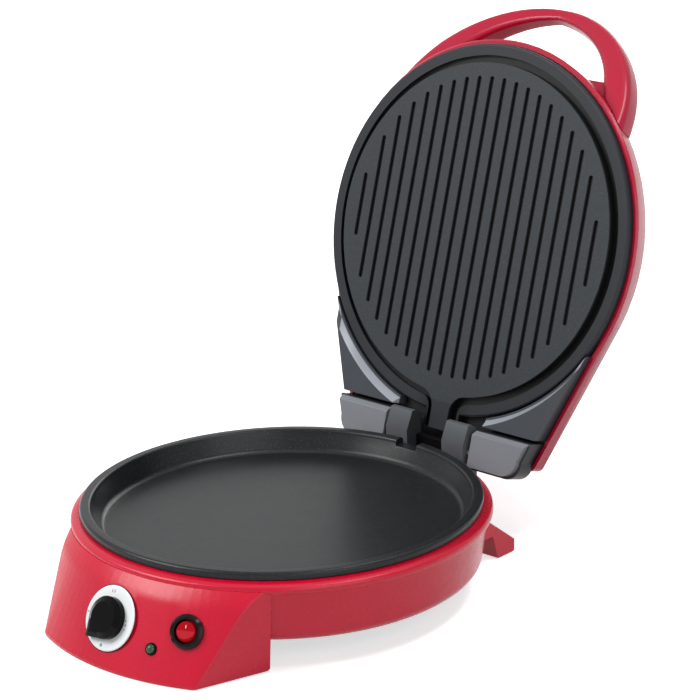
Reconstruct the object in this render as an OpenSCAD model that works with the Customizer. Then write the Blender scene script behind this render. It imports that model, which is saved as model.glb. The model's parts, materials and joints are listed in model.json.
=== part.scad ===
// Electric pizza maker: a round drum with a non-stick plate, a control block at its front,
// and a domed lid with a grooved grill plate that stands open on a rear hinge.
// Lengths are in millimetres, angles in degrees. The table is at z = 0.

/* [Stand] */
// Height of the lower plate's rim above the table
rim_z = 76; // [74:1:84]
// Height of the drum's underside above the table
underside_z = 21; // [18:1:22]
// How far the rubber pads stand out of the plastic
pad_proud = 1; // [0.6:0.1:1.5]
// Radius of a rubber pad
pad_r = 6.5; // [5:0.5:7]

/* [Lower plate] */
// Outer radius of the rim: a 12 inch plate
rim_r = 152.4; // [148:0.2:155]
// Height of the rim band that shows above the housing
rim_h = 6; // [5:0.5:7]
// Width of the rounded rim
rim_w = 9; // [8:0.5:10]
// Depth of the cooking surface below the rim
pan_depth = 17; // [14:1:18]
// Thickness of the cast plates
cast_t = 3.5; // [3:0.25:4]

/* [Base housing] */
// How far the red lip stands out past the plate's rim
lip_out = 7; // [6:0.5:8]
// Height of the lip bead
lip_h = 6.5; // [5.5:0.5:7]
// How far the drum's wall is set in from the lip
wall_in = 4; // [3:0.5:5]
// How far the wall leans in on its way down
wall_lean = 4.5; // [3:0.5:6]
// Radius of the drum's rounded lower edge
drum_round = 9; // [7:1:10]
// Moulded wall thickness of the housing
wall_t = 3; // [2.5:0.25:3.5]

/* [Control block] */
// How far the block's foot stands out past the lip
front_out = 34; // [30:0.5:36]
// Lean of the front face away from upright
front_tilt = 25.4; // [23:0.2:26]
// Height at which the front face turns in towards the lip
shoulder_z = 52; // [48:1:54]
// Turn of the side facets in towards the front
side_angle = 18; // [16:0.5:20]
// Radius of the soft corner between the front and a side facet
front_corner_r = 7; // [4:1:10]
// Half width of the block at its rear, at the table
block_rear_w = 97; // [95:0.5:98]
// Distance from the plate's centre to the block's rear wall
block_rear_y = 119; // [117:1:121]

/* [Controls] */
// Angle of the thermostat dial from the middle of the front, to the right
dial_angle = -1.1; // [-3:0.1:0]
// Height of the dial's centre
dial_z = 34.6; // [33:0.2:35]
// Diameter of the dial plate
dial_d = 48; // [46:1:50]
// Radius of the knob
knob_r = 15.6; // [14:0.2:16]
// Height of the knob above the dial plate
knob_h = 7; // [6.5:0.5:12]
// Turn of the knob's pointer to the left of straight up, as it stands
knob_point_angle = 141; // [120:1:150]
// Diameter of the thermostat's shaft
shaft_d = 6; // [5:0.5:6.5]
// Angle of the mains switch from the middle of the front
switch_angle = 20.5; // [20:0.1:20.8]
// Height of the switch's centre
switch_z = 37.6; // [36.4:0.2:38]
// Diameter of the switch's bezel
switch_d = 25.4; // [25:0.2:27]
// Radius of the rocker in the bezel
rocker_r = 8.4; // [8:0.1:8.8]
// Tilt of the rocker each way from level
rocker_tilt = 8; // [6:1:10]
// Angle of the indicator lamp from the middle of the front
lamp_angle = 12.2; // [12:0.1:12.5]
// Height of the lamp's centre
lamp_z = 22.9; // [22:0.1:23.4]
// Diameter of the lamp's bezel
lamp_d = 9.6; // [9:0.2:10.4]

/* [Hinge] */
// Distance from the lower plate's rim to the hinge axis behind it
hinge_back = 19.6; // [18.6:0.2:21.6]
// Depth of the hinge axis below the lower plate's rim
hinge_drop = 8.3; // [7.5:0.1:9]
// Angle of the open lid, from closed
lid_open = 107; // [100:1:110]
// Diameter of the hinge pins
pin_d = 6; // [5:0.5:6.5]
// Distance from the middle to the inner face of a base knuckle
knuckle_x0 = 17.8; // [17.6:0.2:20]
// Distance from the middle to the outer face of a base knuckle
knuckle_x1 = 43.8; // [42:0.2:44]
// Distance from the middle to the outer side of a lid arm at its top
arm_x1 = 97.5; // [94:0.5:98]
// Gap between a knuckle and the arm beside it
knuckle_gap = 0.7; // [0.5:0.1:1.5]

/* [Grill plate] */
// How much smaller in radius the grill plate is than the lower plate
grill_margin = 4.4; // [4:0.2:6]
// Width of the ring
ring_w = 9.2; // [7.5:0.2:9]
// Width of the moat between the ring and the raised disc
moat_w = 6; // [5:0.2:6.4]
// How far the disc stands proud of the ring
disc_proud = 3.5; // [3:0.1:4]
// Distance between the middles of two grooves
groove_pitch = 12.4; // [11.6:0.1:12.4]
// Width of a groove
groove_w = 4; // [3:0.2:5]
// Depth of a groove
groove_depth = 2.6; // [2:0.2:3]
// Distance from the disc's edge to the circle on which the grooves end
groove_margin = 12.2; // [10.8:0.2:13.2]
// How far the middle of the grooves lies off the disc's middle, away from the hinge
groove_shift = 1.6; // [0:0.2:3]
// Width of the drip tongue
tongue_w = 17.6; // [16:0.2:18]
// How far the tongue reaches out past the ring
tongue_out = 13; // [10:0.5:14]

/* [Lid shell] */
// How far the shell's lip stands out past the ring
shell_over = 4.4; // [4:0.2:6]
// How far the shell's lip lies behind the face of the ring
shell_back = 6; // [5:0.5:7]
// Height of the dome's crown above the face of the ring
dome_h = 46; // [42:1:48]
// Moulded wall thickness of the shell
shell_t = 2.6; // [2.2:0.2:3]
// Half width of the shell at its hinge end
tail_half_w = 96; // [94:0.5:97]
// Distance from the hinge axis to the shell's end behind it
tail_back = 3.5; // [3:0.5:5]
// Height of the shell at its hinge end
tail_h = 31; // [29:1:33]

/* [Handle] */
// Outer radius of the handle's arch
handle_r = 116.2; // [113:0.2:118]
// Distance from the shell's rim in to the middle of the arch's circle
handle_in = 58.4; // [56.4:0.2:60.4]
// Height at which the arch's plane passes over the shell's rim
handle_rise = 50.5; // [48.5:0.5:52]
// Lean of the arch away from the lid's face
handle_lean = 30.1; // [29:0.1:31]
// How far each leg of the arch splays outwards
handle_splay = 7.2; // [4:0.2:9]
// Thickness of the grip at the top of the arch
grip_t = 10; // [9:0.5:12]
// Depth of the grip at the top of the arch
grip_w = 11; // [10:0.5:13]
// Thickness and depth of the arch's legs
leg_t = 22.9; // [20:0.1:24]
// Distance from the shell's rim in to the top edge of the web between the arch's legs
web_in = 2.4; // [1.4:0.2:5.4]

/* [Inside] */
// Diameter of the tubular heating elements
element_d = 6.5; // [6:0.1:7]
// Distance from the edge of the cooking surface in to the lower element's loop
element_in = 40.4; // [36:0.4:46]
// Radius of the bore for the supply cord in its gland
cord_bore_r = 3.6; // [3.2:0.1:4]
// Diameter of the long plate screws
screw_d = 4; // [3.5:0.1:4.5]

/* [Hidden] */
$fn = 96;

fit = 0.05;        // radial clearance of a running fit
seat = 0.2;        // gap between pieces that rest on each other
far = 400;         // longer than anything that is cut

// Heights in the base
rim_foot_z = rim_z - rim_h;
lip_top_z = rim_foot_z - 1.8;
lip_foot_z = lip_top_z - lip_h;
pan_floor_z = rim_z - pan_depth;
pan_under_z = pan_floor_z - cast_t;
cover_t = 2.5;
cover_top_z = underside_z + cover_t;

// Radii of the drum
lip_r = rim_r + lip_out;
drum_top_r = lip_r - wall_in;
drum_low_r = drum_top_r - wall_lean;
drum_foot_r = drum_low_r - drum_round;
pan_wall_r = rim_r - rim_w;
pan_floor_r = pan_wall_r - 7;
element_r = pan_floor_r - element_in;

// Front face of the control block: part of a cone about the plate's centre
front_foot_r = lip_r + front_out;
front_top_r = lip_r + 0.6;
front_top_z = lip_foot_z + 3;
side_lean = 0.064;
side_d = block_rear_w * cos(side_angle) + block_rear_y * sin(side_angle);

// Frame of the lid, closed: its ring faces down at z = 0 and the hinge lies at +y
lid_gap = 0.5;
lid_z = rim_z + lid_gap;
hinge_y = rim_r + hinge_back;
hinge_z = rim_z - hinge_drop;
hinge_in_lid_z = hinge_z - lid_z;
deck_z = 8.2;
deck_t = 3;
grill_r = rim_r - grill_margin;
disc_r = grill_r - ring_w - moat_w;
groove_end_r = disc_r - groove_margin;
groove_count = 2 * floor((groove_end_r - groove_w / 2) / groove_pitch + 0.5);
tongue_end = grill_r + tongue_out;
shell_r = grill_r + shell_over;
tail_y = hinge_y + tail_back;
handle_mid = shell_r - handle_in;
web_top = shell_r - web_in;
knuckle_reach = 23.2;

// The box of the whole part at rest is centred on the origin in y
front_y = -front_foot_r;
handle_foot_z = handle_rise - shell_r * tan(handle_lean);
handle_tip_y = (handle_mid + handle_r) * cos(handle_lean);
handle_tip_z = handle_foot_z + (handle_mid + handle_r) * sin(handle_lean);
back_y = hinge_y + (handle_tip_y + hinge_y) * -cos(lid_open)
    + (handle_tip_z - hinge_in_lid_z + grip_w / 3) * sin(lid_open);
centre_y = (front_y + back_y) / 2;

function arc(c, r, a0, a1, n) = [
    for (i = [0:n]) c + r * [cos(a0 + (a1 - a0) * i / n), sin(a0 + (a1 - a0) * i / n)]
];
function front_r(z) = front_foot_r - (z - pad_proud) * tan(front_tilt);
function block_half_w(r, z) = r * sin(asin((side_d + side_lean * z) / r) - side_angle);
function block_back_w(z) = (side_d + side_lean * z - block_rear_y * sin(side_angle)) / cos(side_angle);

// Places

module place() {
    translate([0, -centre_y, 0]) children();
}

module lid_place() {
    place() translate([0, hinge_y, hinge_z]) rotate([-lid_open, 0, 0])
        translate([0, -hinge_y, lid_z - hinge_z]) children();
}

// Puts local +z along the normal of the front face and local +y up the face
module on_front(angle, z) {
    rotate([0, 0, angle]) translate([0, -front_r(z), z]) rotate([90 - front_tilt, 0, 0]) children();
}

module both_sides() {
    children();
    mirror([1, 0, 0]) children();
}

module ring(r_out, r_in, h) {
    difference() {
        cylinder(r = r_out, h = h);
        translate([0, 0, -1]) cylinder(r = r_in, h = h + 2);
    }
}

// Base

drum_outline = concat(
    [[0, underside_z], [drum_foot_r, underside_z]],
    arc([drum_foot_r, underside_z + drum_round], drum_round, -90, 0, 6),
    [[drum_top_r, lip_foot_z - 1], [drum_top_r, lip_foot_z]],
    arc([lip_r - 2, lip_foot_z + 2], 2, -90, 0, 3),
    arc([lip_r - 3, lip_top_z - 3], 3, 0, 80, 4),
    [[rim_r + 1, rim_foot_z - seat], [0, rim_foot_z - seat]]
);

drum_cavity = [
    [0, underside_z - 1], [drum_foot_r - wall_t, underside_z - 1],
    [drum_foot_r - wall_t, underside_z + wall_t], [drum_low_r - wall_t, underside_z + drum_round + 1],
    [drum_top_r - wall_t, lip_foot_z - 2], [pan_wall_r + 3.6, lip_top_z - wall_t],
    [pan_wall_r + 3.6, rim_z], [0, rim_z]
];

// Slice of the control block at one height: an arc, two straight sides and a straight rear
module block_slice(r, z, corner_r, inset, h = 0.1) {
    w = block_half_w(r, z);
    y = -sqrt(r * r - w * w);
    back_w = 2 * block_back_w(z) - w;
    back_y = -2 * block_rear_y - y;
    translate([0, 0, z]) linear_extrude(h) intersection() {
        offset(corner_r, $fn = 32) offset(delta = -corner_r - inset) intersection() {
            circle(r, $fn = 144);
            polygon([[-back_w, back_y], [-w, y], [-w / 2, -far], [w / 2, -far], [w, y], [back_w, back_y]]);
        }
        translate([-far / 2, -block_rear_y - inset - far]) square(far);
    }
}

module control_block(inset) {
    foot_z = inset > 0 ? -1 : pad_proud;
    hull() {
        block_slice(front_foot_r, foot_z, front_corner_r - 1, inset + 1);
        block_slice(front_r(pad_proud + 2), pad_proud + 2, front_corner_r, inset);
        block_slice(front_r(shoulder_z), shoulder_z - inset, 4, inset);
        block_slice(front_r(shoulder_z) - 3.8, shoulder_z + 6 - inset, 4, inset);
        block_slice(front_top_r, front_top_z - 0.4 - 2 * inset, 3, inset);
    }
}

// Wedge legs that carry the rear of the drum
leg_x0 = 75;
leg_x1 = 92;
leg_back_y = lip_r + 4.6;
leg_tip_h = 11;
leg_pad_y = leg_back_y - 10;

module rear_leg() {
    translate([leg_x0, 0, 0]) rotate([90, 0, 90]) linear_extrude(leg_x1 - leg_x0)
        polygon([
            [leg_back_y - 52, underside_z], [leg_back_y - 26, underside_z], [leg_back_y - 20, pad_proud],
            [leg_back_y - 1, pad_proud], [leg_back_y, pad_proud + 1], [leg_back_y, leg_tip_h],
            [leg_back_y - 34, underside_z + 16], [leg_back_y - 46, underside_z + 16]
        ]);
}

// Screw boss inside the drum with a rib to the wall
module cover_boss() {
    translate([0, 0, cover_top_z + seat / 2]) cylinder(r = 5.5, h = 16);
    translate([0, -1.5, cover_top_z + seat / 2]) cube([drum_low_r - wall_t + 1 - cover_screw_r, 3, 12]);
}

front_pad_y = 33.4 - front_foot_r;
front_pad_spots = [[-52, front_pad_y], [52, front_pad_y]];
rear_pad_spots = [[-(leg_x0 + leg_x1) / 2, leg_pad_y], [(leg_x0 + leg_x1) / 2, leg_pad_y]];
pad_h = 2.4;

plate_screw_r = 62;
module plate_screw_spots() {
    for (a = [30:120:270]) rotate([0, 0, a]) translate([plate_screw_r, 0, 0]) children();
}

cover_screw_r = drum_foot_r - wall_t - 8;
module cover_screw_spots() {
    for (a = [40, 140, 215, 325]) rotate([0, 0, a]) translate([cover_screw_r, 0, 0]) children();
}

gland_x = -70;
gland_z = 38;
gland_r = 7;
gland_y = sqrt(pow(drum_low_r, 2) - pow(gland_x, 2));

bracket_w = knuckle_x1;
bracket_screw_x = [-30, 30];
bracket_screw_z = 44;
bracket_back_y = hinge_y + 10;
bracket_drop = 34;
bracket_step = 12;
bracket_bite = 8;
bracket_wall = 6;

module base_housing() {
    color("crimson") place() difference() {
        union() {
            difference() {
                union() {
                    rotate_extrude() polygon(drum_outline);
                    control_block(0);
                    both_sides() rear_leg();
                    on_front(dial_angle, dial_z) translate([0, 0, -6]) cylinder(d = dial_d - 0.6, h = 6);
                    on_front(switch_angle, switch_z) translate([0, 0, -4]) cylinder(d = switch_d - 0.6, h = 4);
                    on_front(lamp_angle, lamp_z) translate([0, 0, -4]) cylinder(d = lamp_d - 0.6, h = 4);
                }
                rotate_extrude() polygon(drum_cavity);
                control_block(wall_t);
            }
            cover_screw_spots() cover_boss();
        }
        cover_screw_spots() translate([0, 0, underside_z]) cylinder(d = screw_d + 2 * fit, h = 14);
        on_front(dial_angle, dial_z) translate([0, 0, -20]) cylinder(r = 8, h = 30);
        on_front(switch_angle, switch_z) translate([0, 0, -30]) cylinder(r = switch_body_r + seat, h = 40);
        on_front(lamp_angle, lamp_z) translate([0, 0, -20]) cylinder(r = lamp_body_r + seat, h = 30);
        translate([gland_x, gland_y - 20, gland_z]) rotate([-90, 0, 0]) cylinder(r = gland_r + fit, h = 40);
        for (x = bracket_screw_x) translate([x, drum_low_r - 20, bracket_screw_z]) rotate([-90, 0, 0])
            cylinder(d = screw_d + 2 * fit, h = 60);
        for (p = rear_pad_spots) translate([p[0], p[1], -1]) cylinder(r = pad_r + fit, h = pad_h + 1 + fit);
    }
}

module bottom_cover() {
    color("dimgray") place() translate([0, 0, underside_z]) linear_extrude(cover_t) difference() {
        circle(drum_foot_r - wall_t - seat);
        translate([-far / 2, -block_rear_y - far + seat]) square([far, far]);
        plate_screw_spots() circle(d = screw_d + 2 * seat);
        cover_screw_spots() circle(d = screw_d + 2 * seat);
        for (x = [-60:12:60], s = [-1, 1]) translate([x, s * 18]) vent_slot();
    }
}

module vent_slot() {
    translate([-2, -12]) square([4, 24]);
    for (s = [-1, 1]) translate([0, s * 12]) circle(2);
}

// Plate in the mouth of the control block, with two bosses that hold the front pads
control_cover_z = 4;
module control_cover() {
    color("dimgray") place() difference() {
        union() {
            block_slice(front_r(control_cover_z), control_cover_z, front_corner_r, wall_t + 1.6, 2.5);
            for (p = front_pad_spots) translate([p[0], p[1], pad_proud])
                cylinder(r = pad_r + wall_t, h = control_cover_z - pad_proud + 1);
        }
        for (p = front_pad_spots) translate([p[0], p[1], -1]) cylinder(r = pad_r + fit, h = pad_h + 1 + fit);
    }
}

module rubber_pads() {
    color("black") place() for (p = concat(front_pad_spots, rear_pad_spots)) translate([p[0], p[1], 0]) {
        cylinder(r1 = pad_r - 0.4, r2 = pad_r, h = 0.4);
        translate([0, 0, 0.4]) cylinder(r = pad_r, h = pad_h - 0.4);
    }
}

// Lower plate

rim_round = 2.6;
plate_outline = concat(
    [[0, pan_floor_z], [pan_floor_r - 4, pan_floor_z]],
    arc([pan_floor_r - 4, pan_floor_z + 6], 6, -90, -20, 6),
    [[pan_wall_r, rim_z - 3]],
    arc([pan_wall_r + 2.6, rim_z - 2.4], 2.4, 170, 90, 4),
    arc([rim_r - rim_round, rim_z - rim_round], rim_round, 90, 0, 6),
    [[rim_r, rim_foot_z], [pan_wall_r + 3, rim_foot_z], [pan_wall_r + 3, rim_foot_z - 2]],
    [[pan_floor_r + 3, pan_under_z + 4], [pan_floor_r - 2, pan_under_z], [0, pan_under_z]]
);
notch_w = tongue_w + 3;
boss_h = 7;

module cooking_plate() {
    color([0.16, 0.17, 0.18]) place() difference() {
        union() {
            rotate_extrude() polygon(plate_outline);
            translate([0, 0, pan_under_z - boss_h]) plate_screw_spots() cylinder(r = 6, h = boss_h + 1);
        }
        // The lid's drip tongue lies in this notch when the lid is closed
        translate([-notch_w / 2, pan_wall_r - 8, rim_z - disc_proud - 1.2])
            cube([notch_w, 30, disc_proud + 2]);
        translate([0, 0, pan_under_z - boss_h - 1]) plate_screw_spots()
            cylinder(d = screw_d + 2 * fit, h = boss_h);
    }
}

cold_r = element_d / 2 + 0.5;
element_z = pan_under_z - cold_r - seat;
element_end = 28;
cold_len = 16;

// A heating loop open towards the front, with two cold ends from z0 to z1
module element_loop(r, z, z0, z1) {
    rotate([0, 0, -90 + element_end]) rotate_extrude(angle = 360 - 2 * element_end)
        translate([r, z]) circle(d = element_d);
    for (s = [-1, 1]) rotate([0, 0, -90 + s * element_end]) translate([r, 0, z0])
        cylinder(r = cold_r, h = z1 - z0);
}

module lower_element() {
    color("silver") place() element_loop(element_r, element_z, element_z - cold_len, element_z + cold_r);
}

reflector_z = element_z - element_d / 2 - 5;
reflector_t = 0.8;
module lower_reflector() {
    edge_r = pan_floor_r - 8;
    color("gainsboro") place() difference() {
        rotate_extrude() polygon([
            [0, reflector_z], [edge_r - 8, reflector_z], [edge_r, pan_under_z - seat],
            [edge_r - reflector_t, pan_under_z - seat], [edge_r - 8 - reflector_t / 2, reflector_z + reflector_t],
            [0, reflector_z + reflector_t]
        ]);
        translate([0, 0, reflector_z - 1]) plate_screw_spots() cylinder(r = 6 + seat, h = 4);
        for (s = [-1, 1]) rotate([0, 0, -90 + s * element_end]) translate([element_r, 0, reflector_z - 1])
            cylinder(r = cold_r + seat, h = 4);
    }
}

module plate_screws() {
    color("silver") place() plate_screw_spots() {
        translate([0, 0, underside_z - 2]) cylinder(d = screw_d * 2, h = 2 - seat / 2);
        translate([0, 0, underside_z - 1]) cylinder(d = screw_d, h = pan_under_z - 2 - underside_z + 1);
    }
}

cover_screw_len = 12;
module cover_screws() {
    color("silver") place() cover_screw_spots() {
        translate([0, 0, underside_z - 2]) cylinder(d = screw_d * 2, h = 2 - seat / 2);
        translate([0, 0, underside_z - 1]) cylinder(d = screw_d, h = cover_screw_len);
    }
}

// Controls

thermostat_r = 14;
thermostat_depth = 15;
module thermostat_body() {
    color("darkgray") place() on_front(dial_angle, dial_z) difference() {
        union() {
            translate([0, 0, -wall_t - 3 - thermostat_depth]) cylinder(r = thermostat_r, h = thermostat_depth);
            translate([-thermostat_r, -9, -wall_t - 3.2]) cube([2 * thermostat_r, 18, 1.2]);
            translate([0, 0, -wall_t - 3.2]) cylinder(r = 5, h = wall_t + 3);
        }
        translate([0, 0, -wall_t - 14]) cylinder(d = shaft_d + 2 * fit, h = 40);
    }
}

shaft_flat_z = 3;
module thermostat_shaft() {
    color("silver") place() on_front(dial_angle, dial_z) difference() {
        translate([0, 0, -wall_t - 13]) cylinder(d = shaft_d, h = wall_t + 13 + knob_h - 1);
        rotate([0, 0, knob_point_angle]) translate([-shaft_d, shaft_d / 3, shaft_flat_z])
            cube([2 * shaft_d, shaft_d, knob_h]);
    }
}

dial_t = 1.2;
module dial_plate() {
    color("gainsboro") place() on_front(dial_angle, dial_z) difference() {
        union() {
            translate([0, 0, seat / 2]) cylinder(d = dial_d, h = dial_t - 0.5);
            translate([0, 0, seat / 2 + dial_t - 0.5]) cylinder(d1 = dial_d, d2 = dial_d - 1.4, h = 0.5);
        }
        translate([0, 0, -1]) cylinder(r = 5 + seat, h = 4);
    }
}

// Round knob drawn out to a corner that points at the setting
module knob_outline(r) {
    circle(r, $fn = 64);
    rotate(45) square(r);
}

module knob() {
    base_z = dial_t + 0.6;
    color([0.06, 0.06, 0.07]) place() on_front(dial_angle, dial_z) rotate([0, 0, knob_point_angle]) difference() {
        hull() {
            translate([0, 0, base_z]) linear_extrude(2) knob_outline(knob_r);
            translate([0, 0, base_z + knob_h - 0.4]) cylinder(r = knob_r - 3.6, h = 0.4, $fn = 64);
        }
        translate([0, 0, base_z - 1]) difference() {
            cylinder(d = shaft_d + 2 * fit, h = knob_h - 1);
            translate([-shaft_d, shaft_d / 3 + fit, shaft_flat_z + seat - base_z + 1])
                cube([2 * shaft_d, shaft_d, knob_h]);
        }
        translate([0, 0, base_z - 1]) ring(knob_r - 4, shaft_d, knob_h - 4);
    }
}

switch_body_r = 10;
switch_depth = 20;
rocker_gap = 0.4;
rocker_pin_r = 1.2;
rocker_axis_z = -1.6;
module switch_bezel() {
    color([0.08, 0.08, 0.08]) place() on_front(switch_angle, switch_z) difference() {
        union() {
            translate([0, 0, seat / 2]) cylinder(d = switch_d, h = 1.6);
            translate([0, 0, seat / 2 + 1.6]) cylinder(d1 = switch_d, d2 = switch_d - 4, h = 1.6);
            translate([0, 0, -switch_depth]) cylinder(r = switch_body_r, h = switch_depth + 1);
        }
        translate([0, 0, -12]) cylinder(r = rocker_r + rocker_gap, h = 20);
        translate([0, 0, rocker_axis_z]) rotate([0, 90, 0])
            cylinder(r = rocker_pin_r + fit, h = 2 * switch_body_r - 0.6, center = true);
    }
}

module switch_rocker() {
    color([0.75, 0.05, 0.08]) place() on_front(switch_angle, switch_z) translate([0, 0, rocker_axis_z])
        rotate([-rocker_tilt, 0, 0]) {
            intersection() {
                sphere(rocker_r);
                rotate([90, 0, 90]) linear_extrude(2 * rocker_r, center = true) polygon([
                    [-rocker_r, -3], [rocker_r, -3], [rocker_r, 6.2], [0, 4.6], [-rocker_r, 6.2]
                ]);
            }
            rotate([0, 90, 0]) cylinder(r = rocker_pin_r, h = 2 * switch_body_r - 1, center = true);
        }
}

lamp_body_r = 4.2;
module indicator_bezel() {
    color([0.08, 0.08, 0.08]) place() on_front(lamp_angle, lamp_z) difference() {
        union() {
            translate([0, 0, seat / 2]) cylinder(d1 = lamp_d, d2 = lamp_d - 1, h = 1.2);
            translate([0, 0, -10]) cylinder(r = lamp_body_r, h = 11);
        }
        translate([0, 0, -11]) cylinder(r = lamp_body_r - 0.8, h = 20);
    }
}

module indicator_lens() {
    color([0.05, 0.45, 0.2]) place() on_front(lamp_angle, lamp_z) {
        translate([0, 0, -8]) cylinder(r = lamp_body_r - 0.8 - fit, h = 9.5);
        translate([0, 0, 1.5]) intersection() {
            translate([0, 0, -2]) sphere(lamp_body_r - 0.2);
            cylinder(r = lamp_body_r - 0.8 - fit, h = 4);
        }
    }
}

module terminal_block() {
    color("ivory") place() translate([-48, 84, cover_top_z + seat / 2]) difference() {
        cube([46, 18, 12]);
        for (i = [0:3]) translate([6 + i * 11.3, 9, 4]) cylinder(d = 4, h = 10);
    }
}

module cord_gland() {
    color([0.1, 0.1, 0.1]) place() translate([gland_x, gland_y, gland_z]) rotate([-90, 0, 0]) difference() {
        union() {
            translate([0, 0, -12]) cylinder(r = gland_r, h = 28);
            translate([0, 0, 8.6]) cylinder(r1 = gland_r + 2.5, r2 = gland_r + 1, h = 3);
        }
        translate([0, 0, -13]) cylinder(r = cord_bore_r, h = 40);
    }
}

// Hinge

// Two knuckles on one black moulding that is screwed to the rear of the drum
knuckle_profile = [
    [hinge_y - 7, hinge_z - bracket_step], [hinge_y - 7, hinge_z + 17], [hinge_y - 4, hinge_z + 22.4],
    [hinge_y + 4, hinge_z + 22.4], [hinge_y + 10, hinge_z + 18], [bracket_back_y, hinge_z - 26],
    [bracket_back_y - bracket_wall, hinge_z - bracket_drop], [drum_low_r - bracket_bite, hinge_z - bracket_drop],
    [drum_low_r - bracket_bite, hinge_z - bracket_step]
];

module hinge_bracket() {
    color([0.3, 0.31, 0.33]) place() difference() {
        union() {
            both_sides() translate([knuckle_x0, 0, 0]) rotate([90, 0, 90])
                linear_extrude(knuckle_x1 - knuckle_x0) polygon(knuckle_profile);
            translate([-bracket_w, drum_low_r - bracket_bite, hinge_z - bracket_drop])
                cube([2 * bracket_w, bracket_back_y - drum_low_r - bracket_wall, bracket_drop - bracket_step]);
            translate([-bracket_w, bracket_back_y - bracket_wall, hinge_z - bracket_drop + 4])
                cube([2 * bracket_w, bracket_wall, bracket_drop - 2]);
        }
        translate([0, 0, -1]) cylinder(r1 = drum_low_r + seat, r2 = drum_low_r + seat, h = underside_z + drum_round + 1);
        translate([0, 0, underside_z + drum_round]) cylinder(
            r1 = drum_low_r + seat, r2 = drum_top_r + seat, h = lip_foot_z - 1 - underside_z - drum_round);
        translate([0, 0, lip_foot_z - 2]) cylinder(r = lip_r + seat, h = 60);
        both_sides() translate([knuckle_x0 + 4, hinge_y, hinge_z]) rotate([0, 90, 0])
            cylinder(d = pin_d + fit, h = 60);
        for (x = bracket_screw_x) translate([x, drum_low_r - 20, bracket_screw_z]) rotate([-90, 0, 0])
            cylinder(d = screw_d + 2 * fit, h = 30);
    }
}

pin_end = 82;
module hinge_pins() {
    color("silver") place() both_sides() translate([knuckle_x0 + 4 + fit, hinge_y, hinge_z]) rotate([0, 90, 0])
        cylinder(d = pin_d, h = pin_end - knuckle_x0 - 5);
}

module bracket_screws() {
    color("silver") place() for (x = bracket_screw_x) {
        wall_y = sqrt(pow(drum_low_r - wall_t, 2) - pow(x, 2));
        translate([x, wall_y - 6, bracket_screw_z]) rotate([-90, 0, 0]) {
            cylinder(d = screw_d * 2, h = 2.4);
            cylinder(d = screw_d, h = 20);
        }
    }
}

// Lid, modelled closed: the ring faces down at z = 0

// Outline of the lid: a circle with two straight sides drawn in towards the hinge
tail_round = 7;
module lid_outline(inset) {
    r = shell_r - inset;
    rc = tail_round - min(inset, tail_round - 1);
    c = [tail_half_w - inset - rc, tail_y - inset - rc];
    d = norm(c);
    a = atan2(c[1], c[0]) - acos((r - rc) / d);
    t1 = r * [cos(a), sin(a)];
    t2 = c + rc * [cos(a), sin(a)];
    circle(r);
    polygon([[0, 0], t1, t2, c + [0, rc], [-c[0], c[1] + rc], [-t2[0], t2[1]], [-t1[0], t1[1]]]);
    for (s = [-1, 1]) translate([s * c[0], c[1]]) circle(rc);
}

function dome_profile(inset) = concat(
    [[0, shell_back], [shell_r - 1.5 - inset, shell_back]],
    [[shell_r - inset, shell_back + 1.5], [shell_r - 2.5 - inset, shell_back + 10]],
    [for (a = [15:15:75]) [
        shell_r - 47 - inset + 44 * cos(a),
        shell_back + 10 + (dome_h - shell_back - 12.5 - inset) * sin(a)
    ]],
    [[shell_r - 62.4, dome_h - 1.2 - inset], [shell_r - 102.4, dome_h - 0.3 - inset], [0, dome_h - inset]]
);

module lid_dome(inset) {
    corner = tail_round - 1.5;
    hull() {
        rotate_extrude($fn = 72) polygon(dome_profile(inset));
        for (s = [-1, 1]) {
            translate([s * (tail_half_w - tail_round), tail_y - tail_round, shell_back])
                cylinder(r = tail_round - inset, h = 11, $fn = 24);
            translate([s * (tail_half_w - 17), tail_y - 12, tail_h - 11]) sphere(11 - inset, $fn = 24);
        }
    }
}

barrel_r = knuckle_reach + 1;
barrel_t = 2;
module hinge_barrel(r, half_w) {
    translate([0, hinge_y, hinge_in_lid_z]) rotate([0, 90, 0]) cylinder(r = r, h = 2 * half_w, center = true);
}

module lid_shell() {
    color("crimson") lid_place() difference() {
        lid_dome(0);
        lid_dome(shell_t);
        translate([0, 0, shell_back - 1]) linear_extrude(3) lid_outline(shell_t + 1.4);
        hinge_barrel(barrel_r + barrel_t + seat, arm_x0 + seat);
    }
}

module lid_frame() {
    color([0.2, 0.21, 0.22]) lid_place() difference() {
        union() {
            translate([0, 0, deck_z]) linear_extrude(deck_t) difference() {
                lid_outline(shell_t + 1.4);
                circle(disc_r - 6);
            }
            intersection() {
                hinge_barrel(barrel_r + barrel_t, arm_x0);
                translate([-arm_x0, hinge_y - barrel_r - 6, deck_z]) cube([2 * arm_x0, tail_back + barrel_r + 6, 20]);
            }
        }
        hinge_barrel(barrel_r, arm_x0 + 1);
        lid_screw_spots() cylinder(d = screw_d + 2 * fit, h = 60, center = true);
    }
}

module lid_screw_spots() {
    for (a = [-150, -90, -30, 30, 150]) rotate([0, 0, a]) translate([grill_r - 5.2, 0, 0]) children();
}

// Dark arm that carries the lid: outline seen along the lid's normal
arm_x0 = knuckle_x1 + knuckle_gap;
arm_top_y = hinge_y - 20;
arm_foot_y = hinge_y + 10;
arm_front_z = -14.5;
arm_round = 14;
arm_taper = 0.4;
arm_back_z = shell_back - seat / 2;

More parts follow.
